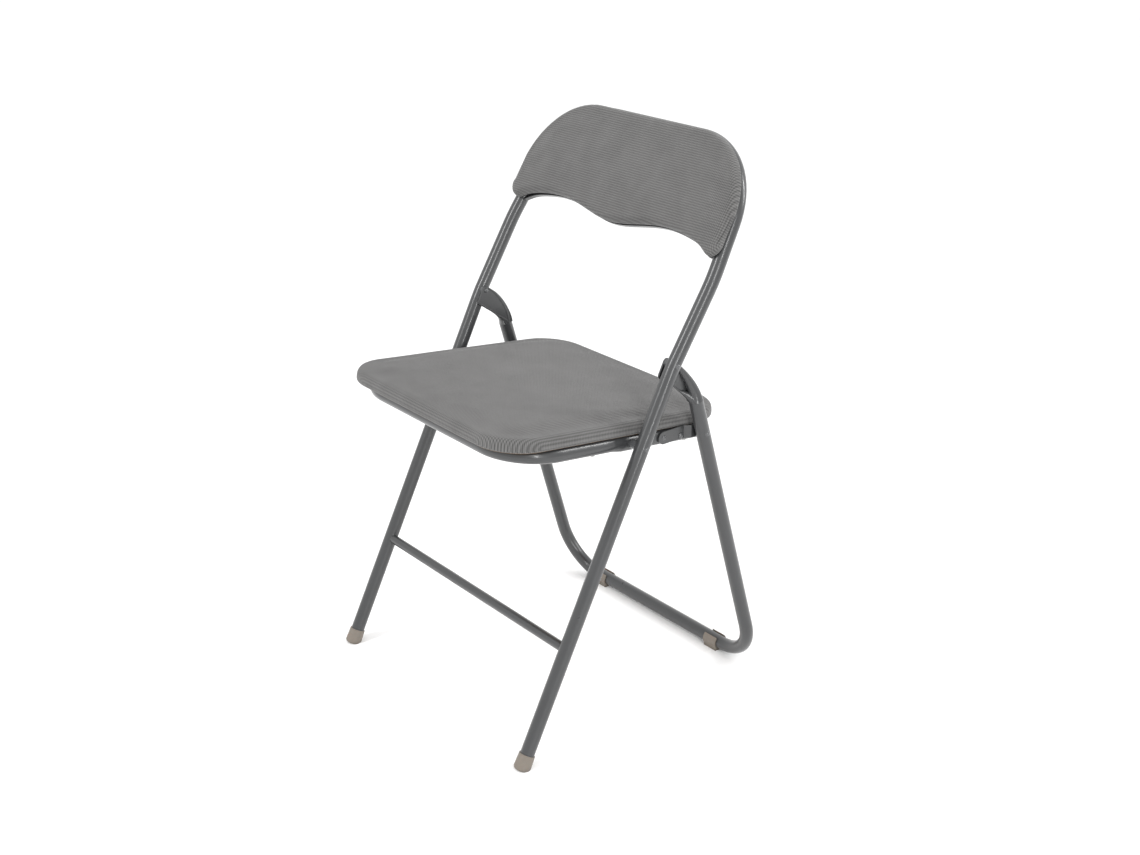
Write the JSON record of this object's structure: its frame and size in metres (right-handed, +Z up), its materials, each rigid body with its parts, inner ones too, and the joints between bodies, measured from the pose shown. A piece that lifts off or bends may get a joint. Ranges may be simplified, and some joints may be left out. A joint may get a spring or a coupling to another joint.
{
  "type": "folding chair",
  "caption": "Folding chair with a bent tube frame, padded ribbed seat and back, side links, and rear legs that fold flat as the seat swings up.",
  "frame": {"origin": "on the floor, in the middle of the open chair's bounding box", "axes": "+X to the sitter's left, -Y to the chair's front, +Z up"},
  "size_m": [0.4634, 0.4522, 0.7963],
  "materials": {
    "frame_paint": "satin",
    "rivet_paint": "satin",
    "ribbed_fabric": "matte",
    "cap_plastic": "matte",
    "board_wood": "matte",
    "screw_steel": "satin"
  },
  "bodies": {
    "main_frame": {"main_frame_tube": "frame_paint", "front_stretcher": "frame_paint", "front_foot_cap_left": "cap_plastic", "front_foot_cap_right": "cap_plastic", "back_panel": "frame_paint", "back_board": "board_wood", "back_cushion": "ribbed_fabric", "back_screws": "screw_steel", "rear_leg_pivot_rivets": "rivet_paint", "rear_leg_washers": "rivet_paint", "seat_pivot_rivets": "rivet_paint", "seat_pivot_spacers": "rivet_paint"},
    "rear_legs": {"rear_leg_frame": "frame_paint", "rear_glide_left": "cap_plastic", "rear_glide_right": "cap_plastic", "link_rear_rivets": "rivet_paint"},
    "seat": {"seat_frame_tube": "frame_paint", "seat_board": "board_wood", "seat_cushion": "ribbed_fabric", "seat_screws": "screw_steel", "link_front_rivets": "rivet_paint", "link_stop_pins": "rivet_paint"},
    "left_link": {"link_left": "frame_paint", "link_tail_button_left": "rivet_paint"},
    "right_link": {"link_right": "frame_paint", "link_tail_button_right": "rivet_paint"}
  },
  "joints": [
    {"name": "seat_fold", "type": "hinge", "parent": "main_frame", "child": "seat", "pos_m": [0, -0.01365, 0.41366], "axis": [-1, 0, 0], "range_deg": [0, 110.84]},
    {"name": "rear_leg_fold", "type": "hinge", "parent": "main_frame", "child": "rear_legs", "pos_m": [0, 0.03754, 0.51843], "axis": [-1, 0, 0], "range_deg": [0, 42.64]},
    {"name": "left_link_swing", "type": "hinge", "parent": "seat", "child": "left_link", "pos_m": [0, 0.03989, 0.40879], "axis": [1, 0, 0], "range_deg": [0, 147.72]},
    {"name": "right_link_swing", "type": "hinge", "parent": "seat", "child": "right_link", "pos_m": [0, 0.03989, 0.40879], "axis": [1, 0, 0], "range_deg": [0, 147.72]}
  ],
  "couplings": [
    {"joint": "rear_leg_fold", "follows": "seat_fold", "ratio": 0.3847},
    {"joint": "left_link_swing", "follows": "seat_fold", "ratio": 1.3327},
    {"joint": "right_link_swing", "follows": "seat_fold", "ratio": 1.3327}
  ]
}
